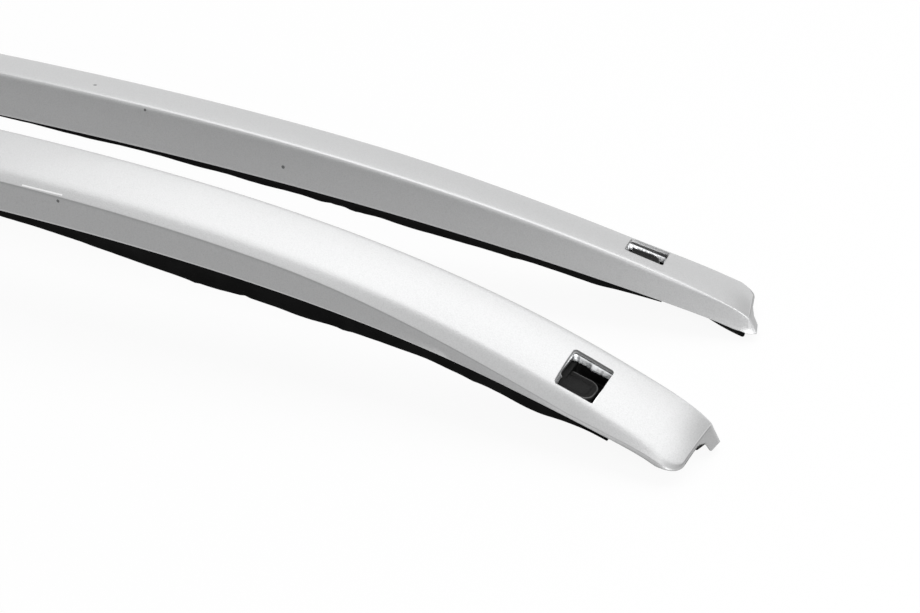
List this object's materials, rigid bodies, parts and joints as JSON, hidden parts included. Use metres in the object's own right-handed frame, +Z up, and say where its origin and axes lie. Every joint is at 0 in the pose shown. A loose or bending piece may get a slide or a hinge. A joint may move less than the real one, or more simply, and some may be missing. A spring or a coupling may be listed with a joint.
{
  "type": "roof side rail pair",
  "caption": "Pair of bowed silver roof side rails with black edge seals, crossbar windows and hidden steel carriers.",
  "frame": {"origin": "on the floor under the middle of the pair, halfway between the two rails", "axes": "+X runs forward along the rails, +Y points to the right rail as the pair lies, +Z is up"},
  "size_m": [1.7382, 0.1814, 0.0913],
  "materials": {
    "silver_paint": "metallic silver, semi-gloss",
    "galvanised_steel": "galvanised, dull",
    "screw_steel": "zinc plated",
    "black_plastic": "matt",
    "seal_rubber": "matt"
  },
  "bodies": {
    "root": {"left_shell": "silver_paint", "right_shell": "silver_paint", "left_front_anchor_plate": "galvanised_steel", "left_rear_anchor_plate": "galvanised_steel", "right_front_anchor_plate": "galvanised_steel", "right_rear_anchor_plate": "galvanised_steel", "left_front_anchor_cup": "black_plastic", "left_rear_anchor_cup": "black_plastic", "right_front_anchor_cup": "black_plastic", "right_rear_anchor_cup": "black_plastic", "left_cup_screws": "screw_steel", "right_cup_screws": "screw_steel", "left_carrier_channel": "galvanised_steel", "right_carrier_channel": "galvanised_steel", "left_mounting_feet": "black_plastic", "right_mounting_feet": "black_plastic", "left_thread_inserts": "screw_steel", "right_thread_inserts": "screw_steel", "left_foot_rings": "seal_rubber", "right_foot_rings": "seal_rubber", "left_short_seal": "seal_rubber", "right_short_seal": "seal_rubber", "left_tall_seal": "seal_rubber", "right_tall_seal": "seal_rubber", "left_front_tip_pad": "seal_rubber", "left_rear_tip_pad": "seal_rubber", "right_front_tip_pad": "seal_rubber", "right_rear_tip_pad": "seal_rubber"}
  },
  "joints": []
}
